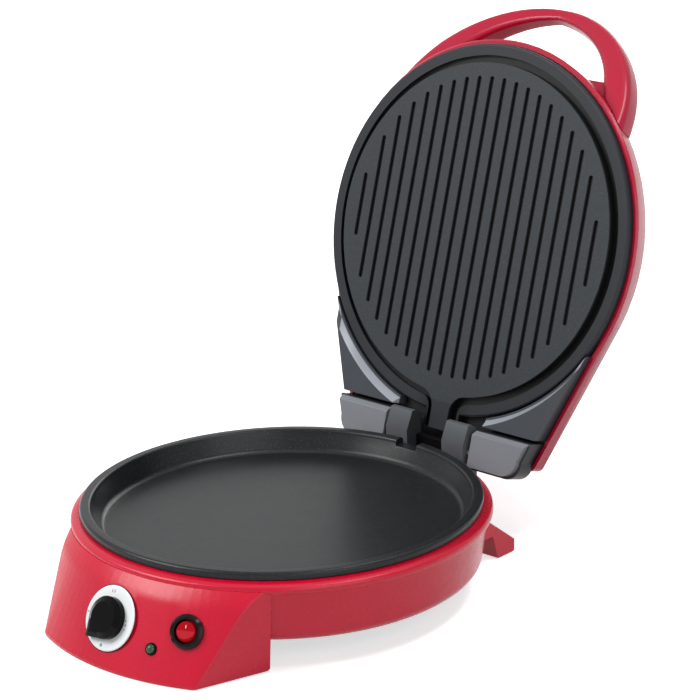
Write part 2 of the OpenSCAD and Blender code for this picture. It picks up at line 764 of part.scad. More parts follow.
module arm_outline(out) {
    x_low = arm_x1 + out - (arm_foot_y - arm_round - arm_top_y) * arm_taper;
    difference() {
        polygon([
            [arm_x0, arm_top_y], [arm_x1 + out, arm_top_y], [x_low, arm_foot_y - arm_round],
            [x_low, arm_foot_y + out], [arm_x0, arm_foot_y + out]
        ]);
        translate([x_low - arm_round, arm_foot_y + out - arm_round]) difference() {
            square(arm_round + 1);
            circle(arm_round);
        }
    }
}

module hinge_arm() {
    difference() {
        union() {
            translate([0, 0, arm_front_z]) linear_extrude(arm_back_z - arm_front_z) arm_outline(0);
            translate([0, 0, arm_front_z + 5]) linear_extrude(arm_back_z - arm_front_z - 5) arm_outline(2);
            // Step that reaches into the shell, up to the frame's deck
            translate([0, 0, arm_back_z - 1]) linear_extrude(deck_z - seat / 2 - arm_back_z + 1) intersection() {
                arm_outline(0);
                lid_outline(shell_t + 2.2);
            }
        }
        // Sloped top edge of the front face
        rotate([90, 0, 90]) linear_extrude(far) polygon([
            [arm_top_y - 1, arm_front_z - 1], [arm_top_y + 4.6, arm_front_z - 1], [arm_top_y - 1, arm_front_z + 8.1]
        ]);
        translate([arm_x0 - 1, hinge_y, hinge_in_lid_z]) rotate([0, 90, 0])
            cylinder(d = pin_d + 2 * fit, h = pin_end - arm_x0 + 1);
    }
}

module hinge_arm_right() {
    color([0.42, 0.43, 0.45]) lid_place() hinge_arm();
}

module hinge_arm_left() {
    color([0.42, 0.43, 0.45]) lid_place() mirror([1, 0, 0]) hinge_arm();
}

// Raised triangular cover between the ring, the arm and the shell's edge, higher at the arm
cover_tip_y = arm_top_y - 68;
cover_tip_z = -1;
cover_slope = 3.6;
module hinge_cover() {
    difference() {
        translate([0, 0, -8]) linear_extrude(deck_z + 8 - seat / 2) intersection() {
            lid_outline(shell_t + 2.2);
            translate([arm_x0, cover_tip_y]) square([far, arm_top_y - cover_tip_y - 1]);
        }
        translate([0, 0, -10]) cylinder(r = grill_r + 1.4, h = 30);
        // Bevel that stays clear of the lower plate's rim when the lid is closed
        translate([0, 0, -8]) cylinder(r1 = rim_r + 7.4, r2 = rim_r + 0.6, h = 8 - lid_gap / 2);
        translate([0, cover_tip_y, cover_tip_z]) rotate([-cover_slope, 0, 0]) translate([0, -20, -20])
            cube([far, far, 20]);
    }
}

module hinge_cover_right() {
    color([0.32, 0.33, 0.35]) lid_place() hinge_cover();
}

module hinge_cover_left() {
    color([0.32, 0.33, 0.35]) lid_place() mirror([1, 0, 0]) hinge_cover();
}

// Grill plate

fillet_r = 15;
fillet_c = [tongue_w / 2 + fillet_r, sqrt(pow(disc_r + fillet_r, 2) - pow(tongue_w / 2 + fillet_r, 2))];

// The raised face: the disc, the tongue and the two fillets between them, grown by a margin
module face_outline(grow) {
    circle(disc_r + grow);
    translate([-tongue_w / 2 - grow, 0]) square([tongue_w + 2 * grow, tongue_end]);
    difference() {
        polygon([[0, 0], fillet_c, [-fillet_c[0], fillet_c[1]]]);
        for (s = [-1, 1]) translate([s * fillet_c[0], fillet_c[1]]) circle(fillet_r - grow);
    }
}

module groove_outlines() {
    for (i = [0:groove_count - 1]) {
        x = (i - (groove_count - 1) / 2) * groove_pitch;
        half = sqrt(pow(groove_end_r, 2) - x * x) - groove_w / 2;
        translate([x - groove_w / 2, -groove_shift - half]) square([groove_w, 2 * half]);
        for (s = [-1, 1]) translate([x, s * half - groove_shift]) circle(d = groove_w, $fn = 24);
    }
}

moat_floor_z = 4;
lid_screw_end_z = 3;
disc_back_z = 2;
grill_outline = concat(
    [[0, 0], [grill_r - 1.8, 0]],
    arc([grill_r - 1.8, 1.8], 1.8, -90, 0, 5),
    [[grill_r, deck_z - seat], [disc_r - 3, deck_z - seat], [disc_r - 9, disc_back_z], [0, disc_back_z]]
);

module grill_plate() {
    spout_w = tongue_w + 2 * moat_w + 4.4;
    color([0.3, 0.31, 0.33]) lid_place() difference() {
        union() {
            rotate_extrude() polygon(grill_outline);
            translate([-spout_w / 2, disc_r]) linear_extrude(deck_z - seat)
                square([spout_w, tongue_end - disc_r]);
            translate([0, 0, -disc_proud]) linear_extrude(disc_proud + 1) face_outline(0);
        }
        translate([0, 0, -disc_proud - 1]) linear_extrude(disc_proud + 1 + moat_floor_z) difference() {
            face_outline(moat_w);
            face_outline(0);
        }
        translate([0, 0, -disc_proud - 1]) linear_extrude(1 + groove_depth) groove_outlines();
        lid_screw_spots() translate([0, 0, lid_screw_end_z]) cylinder(d = screw_d + 2 * fit, h = deck_z);
    }
}

upper_element_z = disc_back_z + cold_r + seat;
module upper_element() {
    color("silver") lid_place()
        element_loop(element_r - 6, upper_element_z, upper_element_z - cold_r, upper_element_z + 10);
}

upper_reflector_z = upper_element_z + element_d / 2 + 5;
module upper_reflector() {
    edge_r = disc_r - 14;
    color("gainsboro") lid_place() difference() {
        rotate_extrude() polygon([
            [0, upper_reflector_z], [edge_r - 6, upper_reflector_z], [edge_r, disc_back_z + seat],
            [edge_r + reflector_t, disc_back_z + seat],
            [edge_r - 6 + reflector_t / 2, upper_reflector_z + reflector_t], [0, upper_reflector_z + reflector_t]
        ]);
        for (s = [-1, 1]) rotate([0, 0, -90 + s * element_end]) translate([element_r - 6, 0, upper_reflector_z - 1])
            cylinder(r = cold_r + seat, h = 4);
    }
}

module lid_screws() {
    color("silver") lid_place() lid_screw_spots() {
        translate([0, 0, deck_z + deck_t + seat / 2]) cylinder(d = screw_d * 1.6, h = 2.4);
        translate([0, 0, lid_screw_end_z + seat]) cylinder(d = screw_d, h = deck_z + deck_t - lid_screw_end_z);
    }
}

// Arch of the handle, in a plane that leans away from the lid's face. Its section grows from
// the top of the arch, a = 0, to the legs
grip_end = 90 - handle_splay;
leg_len = 32;
arch_steps = 36;
corner_steps = 4;
ring_points = 4 * (corner_steps + 1);
function grip_share(a) = min(1, 1.5 * abs(a) / grip_end);

// Rounded square across the arch at angle a, moved along the arch's tangent
function grip_section(a, along) =
    let (
        t = grip_t + (leg_t - grip_t) * grip_share(a),
        w = grip_w + (leg_t - grip_w) * grip_share(a),
        soft = 0.28 * min(t, w)
    )
    [for (q = [0:3], k = [0:corner_steps])
        let (
            turn = 90 * (q + k / corner_steps),
            side = [[1, 1], [-1, 1], [-1, -1], [1, -1]][q],
            r = handle_r - t / 2 - side[0] * (t / 2 - soft) - soft * cos(turn)
        )
        [along * cos(a) + r * sin(a), along * sin(a) - r * cos(a) - handle_mid,
            side[1] * (w / 2 - soft) + soft * sin(turn)]
    ];

module grip() {
    rings = concat(
        [grip_section(-grip_end, -leg_len)],
        [for (i = [-arch_steps / 2:arch_steps / 2]) grip_section(2 * grip_end * i / arch_steps, 0)],
        [grip_section(grip_end, leg_len)]
    );
    n = ring_points;
    last = (len(rings) - 1) * n;
    polyhedron(
        points = [for (r = rings, p = r) p],
        faces = concat(
            [[for (k = [0:n - 1]) k], [for (k = [n - 1:-1:0]) last + k]],
            [for (i = [0:len(rings) - 2], k = [0:n - 1]) [i * n + k, (i + 1) * n + k, i * n + (k + 1) % n]],
            [for (i = [0:len(rings) - 2], k = [0:n - 1])
                [i * n + (k + 1) % n, (i + 1) * n + k, (i + 1) * n + (k + 1) % n]]
        )
    );
}

module lid_handle() {
    color("crimson") lid_place() difference() {
        translate([0, 0, handle_foot_z]) rotate([-handle_lean, 0, 0]) {
            grip();
            translate([0, 0, -4.5]) linear_extrude(9) intersection() {
                translate([0, -handle_mid]) circle(handle_r - leg_t / 2);
                translate([-far / 2, -web_top]) square([far, web_top - 84]);
            }
        }
        rotate_extrude() polygon([for (p = dome_profile(-seat)) [p[0], p[1]]]);
        translate([0, 0, -far + 8]) cylinder(r = far, h = far);
    }
}

base_housing();
bottom_cover();
control_cover();
rubber_pads();
cooking_plate();
lower_element();
lower_reflector();
plate_screws();
cover_screws();
thermostat_body();
thermostat_shaft();
dial_plate();
knob();
switch_bezel();
switch_rocker();
indicator_bezel();
indicator_lens();
terminal_block();
cord_gland();
hinge_bracket();
hinge_pins();
bracket_screws();
lid_shell();
lid_handle();
lid_frame();
hinge_arm_left();
hinge_arm_right();
hinge_cover_left();
hinge_cover_right();
grill_plate();
upper_element();
upper_reflector();
lid_screws();
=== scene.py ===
"""Electric pizza maker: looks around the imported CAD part."""

import json
import math

import bmesh
import bpy
from mathutils import Matrix, Vector


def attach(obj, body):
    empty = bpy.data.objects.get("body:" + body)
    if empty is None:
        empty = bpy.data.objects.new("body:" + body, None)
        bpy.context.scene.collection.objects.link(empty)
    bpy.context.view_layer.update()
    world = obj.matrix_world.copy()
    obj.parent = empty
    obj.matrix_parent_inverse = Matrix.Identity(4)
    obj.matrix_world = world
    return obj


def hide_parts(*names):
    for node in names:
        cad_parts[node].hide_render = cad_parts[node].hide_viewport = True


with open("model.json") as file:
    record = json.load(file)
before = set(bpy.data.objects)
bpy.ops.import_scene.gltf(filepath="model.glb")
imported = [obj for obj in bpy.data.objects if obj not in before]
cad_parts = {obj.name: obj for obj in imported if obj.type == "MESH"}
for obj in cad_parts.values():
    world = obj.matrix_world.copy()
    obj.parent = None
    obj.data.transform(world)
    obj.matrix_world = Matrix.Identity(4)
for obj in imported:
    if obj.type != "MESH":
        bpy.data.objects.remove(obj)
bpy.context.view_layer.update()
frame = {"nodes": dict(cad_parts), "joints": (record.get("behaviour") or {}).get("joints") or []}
nodes = frame["nodes"]


# Base housing
# One deep ABS moulding, high gloss red, with the control block at the front and two legs
# behind. Its edges carry the small round that every moulded edge has.


def linear(code):
    """Turns an sRGB hex colour into the linear colour that a shader wants."""
    parts = [int(code[i : i + 2], 16) / 255 for i in (0, 2, 4)]
    return [*(p / 12.92 if p <= 0.04045 else ((p + 0.055) / 1.055) ** 2.4 for p in parts), 1.0]


def fill_inputs(node, values):
    """Gives a shader node's inputs their values, or links them to other nodes' outputs."""
    for name, value in values.items():
        socket = next(item for item in node.inputs if item.identifier == name)
        if isinstance(value, bpy.types.NodeSocket):
            node.id_data.links.new(value, socket)
        else:
            socket.default_value = value


def add_node(tree, kind, values, **settings):
    """Adds a shader node with its settings and inputs, and returns its outputs."""
    node = tree.nodes.new(kind)
    for name, value in settings.items():
        setattr(node, name, value)
    fill_inputs(node, values)
    return {socket.identifier: socket for socket in node.outputs}


def new_finish(name, colour, roughness, ior=1.5, shine=0.22, metallic=0.0):
    """Starts a material from its plain values, and returns it with its tree, shader and coordinates."""
    finish = bpy.data.materials.new(name)
    finish.use_nodes = True
    tree = finish.node_tree
    shader = tree.nodes["Principled BSDF"]
    fill_inputs(shader, {"Base Color": linear(colour), "Roughness": roughness, "Metallic": metallic})
    if not metallic:
        fill_inputs(shader, {"IOR": ior, "Specular IOR Level": shine})
    place = add_node(tree, "ShaderNodeTexCoord", {})["Object"]
    return finish, tree, shader, place


def moulded_gloss(name, colour, deep, roughness, shine=0.3):
    """Moulded gloss plastic: faint flow marks in its colour, and a skin that ripples a little."""
    finish, tree, shader, place = new_finish(name, colour, roughness, ior=1.53, shine=shine)
    # Flow marks, about 60 mm across
    flow = add_node(tree, "ShaderNodeTexNoise", {"Vector": place, "Scale": 1 / 0.06, "Detail": 2.0})
    tone = add_node(
        tree, "ShaderNodeMix",
        {"Factor_Float": flow["Fac"], "A_Color": linear(colour), "B_Color": linear(deep)},
        data_type="RGBA",
    )
    # Handling haze, about 12 mm across
    haze = add_node(tree, "ShaderNodeTexNoise", {"Vector": place, "Scale": 1 / 0.012, "Detail": 4.0})
    gloss = add_node(
        tree, "ShaderNodeMapRange",
        {"Value": haze["Fac"], "To Min": roughness * 0.92, "To Max": roughness * 1.1},
    )
    # Orange peel of the moulded skin, about 2.5 mm across
    peel = add_node(tree, "ShaderNodeTexNoise", {"Vector": place, "Scale": 1 / 0.0025, "Detail": 1.0})
    bump = add_node(tree, "ShaderNodeBump", {"Height": peel["Fac"], "Strength": 0.25, "Distance": 0.00003})
    looks = {"Base Color": tone["Result_Color"], "Roughness": gloss["Result"], "Normal": bump["Normal"]}
    fill_inputs(shader, looks)
    return finish


def round_edges(piece, width, steps):
    """Shades a piece smooth, rounds its sharp edges and keeps its flat faces flat."""
    for face in piece.data.polygons:
        face.use_smooth = True
    if width:
        round_over = piece.modifiers.new("edges", "BEVEL")
        round_over.width = width
        round_over.segments = steps
        round_over.limit_method = "ANGLE"
        round_over.angle_limit = math.radians(30)
        round_over.miter_outer = "MITER_ARC"
    creases = piece.modifiers.new("creases", "EDGE_SPLIT")
    creases.split_angle = math.radians(40)
    normals = piece.modifiers.new("normals", "WEIGHTED_NORMAL")
    normals.keep_sharp = True


def finish_node(name, finish, width, steps=2):
    """Gives a CAD node its finish, joins its loose triangles and rounds its edges."""
    piece = nodes[name]
    piece.data.materials.clear()
    piece.data.materials.append(finish)
    weld = piece.modifiers.new("joined", "WELD")
    weld.merge_threshold = 0.00002
    flat = piece.modifiers.new("flat", "DECIMATE")
    flat.decimate_type = "DISSOLVE"
    flat.angle_limit = math.radians(0.6)
    round_edges(piece, width, steps)


# ABS moulded in a polished tool: a deep colour under a slightly rippled, clear gloss
gloss_red_abs = moulded_gloss("gloss_red_abs", "C6052E", "BA0429", 0.27)
finish_node("base_housing", gloss_red_abs, 0.0009, 3)


# Covers under the base
# Two plain black mouldings that close the drum and the control block, held by screws, and
# the gland at the rear where the supply cord leaves.


def moulded_satin(name, colour, deep, roughness, grain=0.0009):
    """Heat-proof moulded plastic with a fine spark-eroded grain."""
    finish, tree, shader, place = new_finish(name, colour, roughness)
    # Clouding of the resin, about 30 mm across
    cloud = add_node(tree, "ShaderNodeTexNoise", {"Vector": place, "Scale": 1 / 0.03, "Detail": 3.0})
    tone = add_node(
        tree, "ShaderNodeMix",
        {"Factor_Float": cloud["Fac"], "A_Color": linear(colour), "B_Color": linear(deep)},
        data_type="RGBA",
    )
    # The tool's grain shows in the sheen and as a slight relief
    fine = add_node(tree, "ShaderNodeTexNoise", {"Vector": place, "Scale": 1 / grain, "Detail": 2.0})
    sheen = add_node(
        tree, "ShaderNodeMapRange",
        {"Value": fine["Fac"], "To Min": roughness * 0.85, "To Max": roughness * 1.2},
    )
    bump = add_node(tree, "ShaderNodeBump", {"Height": fine["Fac"], "Strength": 0.35, "Distance": 0.00006})
    looks = {"Base Color": tone["Result_Color"], "Roughness": sheen["Result"], "Normal": bump["Normal"]}
    fill_inputs(shader, looks)
    return finish


# Polypropylene moulded in an eroded tool: plain black with a soft sheen
black_polypropylene = moulded_satin("black_polypropylene", "1E1F21", "17181A", 0.5)
for part in ("bottom_cover", "control_cover", "cord_gland"):
    finish_node(part, black_polypropylene, 0.0004)


# Rubber pads
# Four moulded pads of matt black rubber, pressed into their pockets under the block and
# the legs.

# Natural rubber with soot: matt, with no highlight to speak of
matt_rubber = moulded_satin("matt_rubber", "141414", "1C1C1C", 0.8, 0.0006)
finish_node("rubber_pads", matt_rubber, 0.0004)


# Cooking plate and grill plate
# Cast aluminium with a dark non-stick coating: a soft grey sheen, fine pale flecks, and
# painted shade in the grill plate's grooves and moat.

joints = {joint["name"]: joint for joint in frame["joints"]}
hinge = Vector(joints["lid_hinge"]["pos_m"])
lid_open = math.radians(joints["lid_hinge"]["range_deg"][1])
# From the plate's centre back to the hinge, and from the table up to the closed lid's ring
hinge_reach = 0.172
ring_height = 0.0765


def coated_casting(name, colour, deep, roughness):
    """Sprayed non-stick coat on a casting: mottled, gritty and set with mineral flecks."""
    finish, tree, shader, place = new_finish(name, colour, roughness)
    # Mottle of the sprayed coat, about 14 mm across
    mottle = add_node(tree, "ShaderNodeTexNoise", {"Vector": place, "Scale": 1 / 0.014, "Detail": 6.0})
    tone = add_node(
        tree, "ShaderNodeMix",
        {"Factor_Float": mottle["Fac"], "A_Color": linear(colour), "B_Color": linear(deep)},
        data_type="RGBA",
    )
    # Mineral flecks, drawn about 0.9 mm across so that they show
    fleck = add_node(tree, "ShaderNodeTexVoronoi", {"Vector": place, "Scale": 1 / 0.0018})
    on_fleck = add_node(
        tree, "ShaderNodeMapRange",
        {"Value": fleck["Distance"], "From Min": 0.1, "From Max": 0.22, "To Min": 0.24, "To Max": 0.0},
    )
    flecked = add_node(
        tree, "ShaderNodeMix",
        {"Factor_Float": on_fleck["Result"], "A_Color": tone["Result_Color"], "B_Color": linear("7C8084")},
        data_type="RGBA",
    )
    sheen = add_node(
        tree, "ShaderNodeMapRange",
        {"Value": mottle["Fac"], "To Min": roughness * 0.9, "To Max": roughness * 1.15},
    )
    # Grit of the coat, about 0.8 mm across
    grit = add_node(tree, "ShaderNodeTexNoise", {"Vector": place, "Scale": 1 / 0.0008, "Detail": 2.0})
    bump = add_node(tree, "ShaderNodeBump", {"Height": grit["Fac"], "Strength": 0.3, "Distance": 0.00005})
    looks = {"Base Color": flecked["Result_Color"], "Roughness": sheen["Result"], "Normal": bump["Normal"]}
    fill_inputs(shader, looks)
    return finish


def closed_lid_place(tree):
    """Coordinates as if the lid were closed, from the plate's centre and up from the ring's face."""
    place = add_node(tree, "ShaderNodeTexCoord", {})["Object"]
    hinge_when_closed = Vector((0, hinge_reach, hinge.z - ring_height))
    shift = hinge_when_closed - Matrix.Rotation(lid_open, 3, "X") @ hinge
    turned = add_node(
        tree, "ShaderNodeMapping", {"Vector": place, "Rotation": (lid_open, 0, 0), "Location": shift}
    )
    return add_node(tree, "ShaderNodeSeparateXYZ", {"Vector": turned["Vector"]})


def darken(finish, factor, colour):
    """Blends a finish's colour to a darker one by a factor."""
    shader = finish.node_tree.nodes["Principled BSDF"]
    tone = shader.inputs["Base Color"].links[0].from_socket
    mix = add_node(
        finish.node_tree, "ShaderNodeMix",
        {"Factor_Float": factor, "A_Color": tone, "B_Color": linear(colour)},
        data_type="RGBA",
    )
    fill_inputs(shader, {"Base Color": mix["Result_Color"]})


# The lower plate's coat is nearly black and a little glossier, the grill plate's is slate grey
finish_node("cooking_plate", coated_casting("nonstick_pan_coat", "121416", "16181A", 0.3), 0.0006)

grill_coat = coated_casting("nonstick_grill_coat", "2F3337", "2A2E31", 0.42)
tree = grill_coat.node_tree
spot = closed_lid_place(tree)
flat_spot = add_node(tree, "ShaderNodeCombineXYZ", {"X": spot["X"], "Y": spot["Y"]})
radius = add_node(tree, "ShaderNodeVectorMath", {"Vector": flat_spot["Vector"]}, operation="LENGTH")["Value"]
# The ring round the moat is a little darker than the disc
moat_inner_r = 0.1382
moat_outer_r = 0.1390
on_ring = add_node(
    tree, "ShaderNodeMapRange", {"Value": radius, "From Min": moat_inner_r, "From Max": moat_outer_r}
)
darken(grill_coat, on_ring["Result"], "202327")
# Painted shade: the grooves and the moat are darkened, also where the moat runs out beside the tongue
on_disc = add_node(
    tree, "ShaderNodeMapRange", {"Value": radius, "From Min": moat_outer_r, "From Max": moat_inner_r}
)
off_middle = add_node(tree, "ShaderNodeMath", {"Value": spot["X"]}, operation="ABSOLUTE")
near_middle = add_node(
    tree, "ShaderNodeMapRange", {"Value": off_middle["Value"], "From Min": 0.028, "From Max": 0.016}
)
near_hinge = add_node(tree, "ShaderNodeMapRange", {"Value": spot["Y"], "From Min": 0.0, "From Max": 0.1})
by_tongue = add_node(
    tree, "ShaderNodeMath",
    {"Value": near_middle["Result"], "Value_001": near_hinge["Result"]},
    operation="MULTIPLY",
)
sunk_area = add_node(
    tree, "ShaderNodeMath", {"Value": on_disc["Result"], "Value_001": by_tongue["Value"]}, operation="MAXIMUM"
)
depth = add_node(tree, "ShaderNodeMapRange", {"Value": spot["Z"], "From Min": -0.0027, "From Max": -0.0010})
groove_shade = add_node(
    tree, "ShaderNodeMath", {"Value": depth["Result"], "Value_001": sunk_area["Value"]}, operation="MULTIPLY"
)
darken(grill_coat, groove_shade["Value"], "0C0D0E")
finish_node("grill_plate", grill_coat, 0.0008, 3)


# Lid shell and handle
# The shell is one domed gloss red moulding, a deeper red than the base. The handle is an arch
# moulded in the same red.

# The same ABS in a deeper red, with a slightly softer gloss
deep_red_abs = moulded_gloss("deep_red_abs", "AC0830", "A2062B", 0.26)
finish_node("lid_shell", deep_red_abs, 0.0008)
finish_node("lid_handle", deep_red_abs, 0.0008)


# Hinge
# Grey glass-filled nylon: two short knuckles on a block behind the drum, and an arm at each
# side that carries the lid on a steel pin. The knuckles stand clear of the arms.


def add_piece(name, mesh, finish, body, stands_for=None, width=0, steps=3):
    bmesh.ops.recalc_face_normals(mesh, faces=mesh.faces)
    data = bpy.data.meshes.new(name)
    mesh.to_mesh(data)
    mesh.free()
    data.materials.append(finish)
    piece = bpy.data.objects.new(name, data)
    bpy.context.scene.collection.objects.link(piece)
    round_edges(piece, width, steps)
    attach(piece, body)
    if stands_for:
        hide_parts(stands_for)
    return piece


def cut_away(mesh, geometry, point, normal):
    """Removes what lies beyond a plane and closes the opening."""
    bmesh.ops.bisect_plane(
        mesh, geom=geometry, dist=0.00001, plane_co=point, plane_no=normal, clear_outer=True
    )
    rim = [edge for edge in mesh.edges if edge.is_boundary]
    bmesh.ops.holes_fill(mesh, edges=rim, sides=0)


# Glass-filled nylon: an even mid grey with a dull sheen on the arms, darker and coarser on the
# knuckles
grey_nylon = moulded_satin("grey_nylon", "7A7E84", "72767B", 0.34)
knuckle_nylon = moulded_satin("dark_grey_nylon", "54585C", "4A4E52", 0.42, 0.0014)

knuckles = bmesh.new()
knuckles.from_mesh(nodes["hinge_bracket"].data)
knuckles.transform(nodes["hinge_bracket"].matrix_world)
bmesh.ops.remove_doubles(knuckles, verts=knuckles.verts, dist=0.00002)
# Trimmed at each side, clear of the arms
knuckle_end_x = 0.040
for side in (-1, 1):
    everything = knuckles.verts[:] + knuckles.edges[:] + knuckles.faces[:]
    cut_away(knuckles, everything, (side * knuckle_end_x, 0, 0), (side, 0, 0))
# The knuckles' fronts slope back above the pin
slope_foot = hinge + Vector((0, -0.009, 0.004))
slope_lean = math.radians(26.26)
everything = knuckles.verts[:] + knuckles.edges[:] + knuckles.faces[:]
bmesh.ops.bisect_plane(knuckles, geom=everything, dist=0.00001, plane_co=slope_foot, plane_no=(0, 0, 1))
upper_faces = [face for face in knuckles.faces if face.calc_center_median().z > slope_foot.z]
upper_edges = list(dict.fromkeys(edge for face in upper_faces for edge in face.edges))
upper_verts = list(dict.fromkeys(vert for face in upper_faces for vert in face.verts))
slope_out = (0, -math.cos(slope_lean), math.sin(slope_lean))
cut_away(knuckles, upper_verts + upper_edges + upper_faces, slope_foot, slope_out)
bmesh.ops.dissolve_limit(
    knuckles, angle_limit=math.radians(0.6), verts=knuckles.verts[:], edges=knuckles.edges[:]
)
add_piece("hinge_knuckles", knuckles, knuckle_nylon, "base", stands_for="hinge_bracket", width=0.0016)

# Painted shade: the block between the knuckles is darkened to black under the drip tongue
tree = knuckle_nylon.node_tree
place = add_node(tree, "ShaderNodeTexCoord", {})["Object"]
spot = add_node(tree, "ShaderNodeSeparateXYZ", {"Vector": place})
off_middle = add_node(tree, "ShaderNodeMath", {"Value": spot["X"]}, operation="ABSOLUTE")
between_knuckles_shade = add_node(
    tree, "ShaderNodeMapRange", {"Value": off_middle["Value"], "From Min": 0.0182, "From Max": 0.0176}
)
darken(knuckle_nylon, between_knuckles_shade["Result"], "08080A")

# Painted shade: the arms' collars, behind their front faces, are darkened to near black
tree = grey_nylon.node_tree
spot = closed_lid_place(tree)
collar_shade = add_node(tree, "ShaderNodeMapRange", {"Value": spot["Z"], "From Min": -0.0099, "From Max": -0.0093})
darken(grey_nylon, collar_shade["Result"], "1A1B1E")
for part in ("hinge_arm_left", "hinge_arm_right"):
    finish_node(part, grey_nylon, 0.0014, 3)

# Phenolic moulding that holds the grill plate in the lid: dull black
finish_node("lid_frame", moulded_satin("black_phenolic", "17181A", "101112", 0.45), 0.0005)


# Hinge covers
# Raised triangular covers beside the drip tongue, dark glass-filled nylon. A bevel that widens
# towards the arm runs along the ring, and the lower plate's rim passes in front of it.

# The covers' nylon is darker than the arms', with the same dull sheen
cover_nylon = moulded_satin("cover_nylon", "3E4248", "383C42", 0.34)
# The same nylon, lightened along the bevel: a painted highlight
bevel_highlight = moulded_satin("nylon_edge_painted_highlight", "989CA4", "90949C", 0.2)
# The shell's straight side is a tangent of this circle, at this turn
side_circle_r = 0.1479
side_turn = math.radians(21.89)
# Where the arm begins, and how far out the cover's corner lies there
arm_edge = 0.1494
corner_x = 0.0990
ring_steps = 24
# The faces along the ring lie within this radius, and change from bevel to land at these places
ring_side_r = 0.158
bevel_end_x = 0.1178
land_start_x = 0.1217
to_closed_lid = Matrix.Translation((0, hinge.y - hinge_reach, ring_height))
opening = Matrix.Translation(hinge) @ Matrix.Rotation(-lid_open, 4, "X") @ Matrix.Translation(-hinge)


def cover_outline(side, first_x, near, far, level):
    """Outline at one level: along the ring from the arm to the tip, then round by the arm's edge."""
    start = math.acos(first_x / near)
    end = side_turn + math.acos(side_circle_r / far)
    points = []
    for i in range(ring_steps + 1):
        share = i / ring_steps
        reach = near + (far - near) * share
        angle = start + (end - start) * share
        points.append((side * reach * math.cos(angle), reach * math.sin(angle)))
    points += [(side * corner_x, arm_edge), (side * first_x, arm_edge)]
    return [(x, y, level(y)) for x, y in points]


for side, part in ((-1, "hinge_cover_left"), (1, "hinge_cover_right")):
    # Foot inside the lid, edge beside the ring, narrow land, and raised face, higher by the arm
    outlines = (
        cover_outline(side, 0.0445, 0.1497, 0.1497, lambda y: 0.0081),
        cover_outline(side, 0.0445, 0.1497, 0.1497, lambda y: -0.0004),
        cover_outline(side, 0.0448, 0.1516, 0.1516, lambda y: -0.0005),
        cover_outline(side, 0.0468, 0.1562, 0.1545, lambda y: -0.005 - 0.0262 * (y - 0.086)),
    )
    mesh = bmesh.new()
    loops = []
    for outline in outlines:
        corners = [mesh.verts.new(point) for point in outline]
        loops.append([mesh.edges.new((corners[i - 1], corners[i])) for i in range(len(corners))])
    bands = [
        bmesh.ops.bridge_loops(mesh, edges=lower + upper)["faces"] for lower, upper in zip(loops, loops[1:])
    ]
    bmesh.ops.holes_fill(mesh, edges=loops[0] + loops[-1], sides=0)
    # The painted highlight lies along the ring: on the bevel, almost to the tip, and there on the narrow land
    # above it
    land, bevel = bands[1:]
    bright = [face for face in bevel if abs(face.calc_center_median().x) < bevel_end_x]
    bright += [face for face in land if abs(face.calc_center_median().x) > land_start_x]
    for face in bright:
        if face.calc_center_median().xy.length < ring_side_r:
            face.material_index = 1
    mesh.transform(opening @ to_closed_lid)
    cover = add_piece("raised_" + part, mesh, cover_nylon, "lid", stands_for=part, width=0.0007)
    cover.data.materials.append(bevel_highlight)


# Controls
# A white dial plate under a gloss black knob, a black round rocker switch with a clear red
# rocker, and a small green lamp in a black bezel. All sit on the block's leaning face.

# Knob and bezels are polished black mouldings, the switch's with a brown cast. The dial is a
# smooth white print. The rocker and the lamp are clear plastic, dyed deep in the mass.
gloss_black_abs = moulded_gloss("gloss_black_abs", "040405", "060608", 0.13, 0.08)
brown_black_abs = moulded_gloss("brown_black_abs", "100706", "140908", 0.2, 0.12)
white_print = moulded_gloss("satin_white_print", "E9ECED", "E0E5E6", 0.3)
clear_red = moulded_gloss("clear_red_polycarbonate", "B4041C", "9A0418", 0.4, 0.08)
clear_green = moulded_gloss("clear_green_polycarbonate", "0B5A2C", "074020", 0.1)
finish_node("switch_bezel", brown_black_abs, 0.0007, 3)
finish_node("indicator_bezel", gloss_black_abs, 0.0004, 3)
finish_node("dial_plate", white_print, 0.0003)
finish_node("switch_rocker", clear_red, 0.0005, 3)
finish_node("indicator_lens", clear_green, 0.0002)

face_lean = math.radians(25.4)


def on_face(joint_name, degrees):
    """Matrix at a control's joint: x to the right, y up along the leaning face, z out of it."""
    turn = math.radians(degrees)
    across = Vector((math.cos(turn), math.sin(turn), 0))
    level_out = Vector((math.sin(turn), -math.cos(turn), 0))
    out = math.cos(face_lean) * level_out + Vector((0, 0, math.sin(face_lean)))
    axes = Matrix((across, out.cross(across), out)).transposed().to_4x4()
    return Matrix.Translation(joints[joint_name]["pos_m"]) @ axes


# The knob: a round skirt drawn out to a pointer, with sides that slope in to a flat crown
dial_place = on_face("knob_turn", -1.1)
knob_r = 0.0156
crown_r = 0.0114
mesh = bmesh.new()
skirt = bmesh.ops.create_circle(mesh, cap_ends=True, segments=96, radius=knob_r)["verts"]
for vert in skirt:
    off_pointer = abs(math.atan2(vert.co.y, vert.co.x))
    if off_pointer < math.radians(45):
        vert.co.xy *= 1 / math.cos(math.radians(45) - off_pointer)
wall = bmesh.ops.extrude_face_region(mesh, geom=mesh.faces[:])["geom"]
rim = [item for item in wall if isinstance(item, bmesh.types.BMVert)]
bmesh.ops.translate(mesh, verts=rim, vec=(0, 0, 0.0044))
inner_face = [item for item in wall if isinstance(item, bmesh.types.BMFace)]
slope = bmesh.ops.extrude_face_region(mesh, geom=inner_face)["geom"]
for vert in (item for item in slope if isinstance(item, bmesh.types.BMVert)):
    vert.co.xy = vert.co.xy.normalized() * crown_r
    vert.co.z = 0.007
bmesh.ops.delete(mesh, geom=inner_face, context="FACES_ONLY")
above_dial = Matrix.Translation((0, 0, 0.0018))
pointer_turn = Matrix.Rotation(math.radians(231), 4, "Z")
mesh.transform(dial_place @ above_dial @ pointer_turn)
